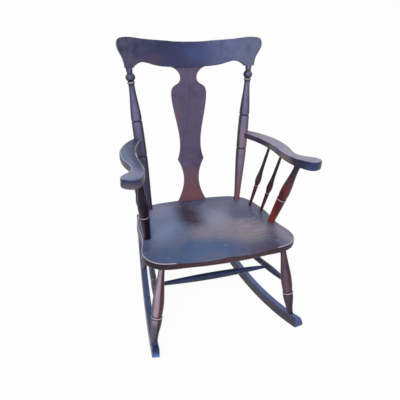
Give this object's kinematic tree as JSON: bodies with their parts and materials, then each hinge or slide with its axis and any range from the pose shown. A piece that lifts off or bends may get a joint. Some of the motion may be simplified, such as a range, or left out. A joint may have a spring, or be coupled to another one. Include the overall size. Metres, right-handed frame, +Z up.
{
  "type": "rocking chair",
  "caption": "Small wooden rocking chair with a curved yoke crest rail, a fiddle splat between turned posts, S-shaped arms on turned supports, a carved plank seat and two slim rockers.",
  "frame": {"origin": "on the floor, under the middle of the chair's overall box", "axes": "+Z is up, the front of the chair faces -Y, +X runs across to the sitter's left, so the chair's right side as seen from the front"},
  "size_m": [0.6504, 0.7339, 0.8796],
  "materials": {
    "seat_plank_finish": "old dark varnish, satin to gloss, edges worn pale",
    "crest_finish": "old dark varnish, satin to gloss, edges worn pale",
    "splat_finish": "old dark varnish, satin to gloss, edges worn pale",
    "post_finish": "old dark varnish, satin to gloss, edges worn pale",
    "arm_finish": "old dark varnish, satin to gloss, edges worn pale",
    "arm_support_finish": "old dark varnish, satin to gloss, edges worn pale",
    "leg_finish": "old dark varnish, satin to gloss, edges worn pale",
    "stretcher_finish": "old dark varnish, satin to gloss, edges worn pale",
    "rocker_finish": "old dark varnish, satin to gloss, edges worn pale",
    "peg_wood": "end grain flush plug, dark varnish",
    "screw_steel": "dark old steel, dull"
  },
  "bodies": {
    "root": {"seat": "seat_plank_finish", "crest_rail": "crest_finish", "back_splat": "splat_finish", "back_post_left": "post_finish", "back_post_right": "post_finish", "arm_left": "arm_finish", "arm_right": "arm_finish", "arm_post_left": "arm_support_finish", "arm_post_right": "arm_support_finish", "arm_spindle_front_left": "arm_support_finish", "arm_spindle_front_right": "arm_support_finish", "arm_spindle_rear_left": "arm_support_finish", "arm_spindle_rear_right": "arm_support_finish", "leg_front_left": "leg_finish", "leg_front_right": "leg_finish", "leg_rear_left": "leg_finish", "leg_rear_right": "leg_finish", "side_stretcher_left": "stretcher_finish", "side_stretcher_right": "stretcher_finish", "cross_stretcher": "stretcher_finish", "rocker_left": "rocker_finish", "rocker_right": "rocker_finish", "crest_pins": "peg_wood", "rocker_pegs": "peg_wood", "arm_screws": "screw_steel"}
  },
  "joints": []
}
